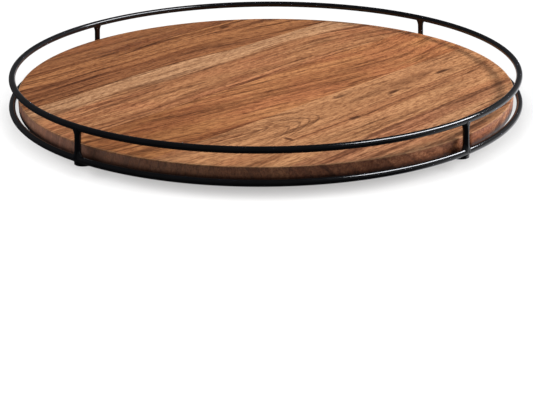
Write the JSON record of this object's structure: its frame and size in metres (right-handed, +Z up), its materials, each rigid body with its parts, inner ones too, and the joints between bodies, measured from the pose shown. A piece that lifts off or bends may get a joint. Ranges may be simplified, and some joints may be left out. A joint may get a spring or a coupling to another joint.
{
  "type": "lazy susan turntable",
  "caption": "Round wooden turntable board with a low black wire rail, turning on a caged ball bearing over a smaller round base with rubber feet.",
  "frame": {"origin": "on the table surface, under the turning axis", "axes": "+Z up along the turning axis, the thin direction; -Y towards the person who uses it; the staves run 47.4 degrees from +X towards +Y"},
  "size_m": [0.4571, 0.4572, 0.0551],
  "materials": {
    "acacia": "oiled, satin, glued staves of brown heartwood and tan sapwood",
    "base_wood": "plain satin wood",
    "black_steel": "semi-gloss black powder coat",
    "black_screw": "black oxide",
    "aluminium": "plain turned",
    "nylon": "natural nylon",
    "ball_steel": "polished",
    "zinc_screw": "zinc plated",
    "rubber": "matt moulded"
  },
  "bodies": {
    "base": {"base_disc": "base_wood", "bearing_outer_race": "aluminium", "base_screws": "zinc_screw", "foot_1": "rubber", "foot_2": "rubber", "foot_3": "rubber", "foot_4": "rubber", "foot_screws": "zinc_screw"},
    "turntable": {"stave_1": "acacia", "stave_2": "acacia", "stave_3": "acacia", "stave_4": "acacia", "stave_5": "acacia", "stave_6": "acacia", "stave_7": "acacia", "rail_top_ring": "black_steel", "rail_bottom_ring": "black_steel", "rail_post_1": "black_steel", "rail_post_2": "black_steel", "rail_post_3": "black_steel", "rail_post_4": "black_steel", "rail_tab_1": "black_steel", "rail_tab_2": "black_steel", "rail_tab_3": "black_steel", "rail_tab_4": "black_steel", "rail_screws": "black_screw", "bearing_inner_race": "aluminium", "board_screws": "zinc_screw"},
    "ball_ring": {"ball_cage": "nylon", "bearing_balls": "ball_steel"}
  },
  "joints": [
    {"name": "turntable_spin", "type": "hinge", "parent": "base", "child": "turntable", "pos_m": [0, 0, 0.0195], "axis": [0, 0, 1], "continuous": true},
    {"name": "ball_ring_spin", "type": "hinge", "parent": "base", "child": "ball_ring", "pos_m": [0, 0, 0.0195], "axis": [0, 0, 1], "continuous": true}
  ],
  "couplings": [
    {"joint": "ball_ring_spin", "follows": "turntable_spin", "ratio": 0.5}
  ]
}
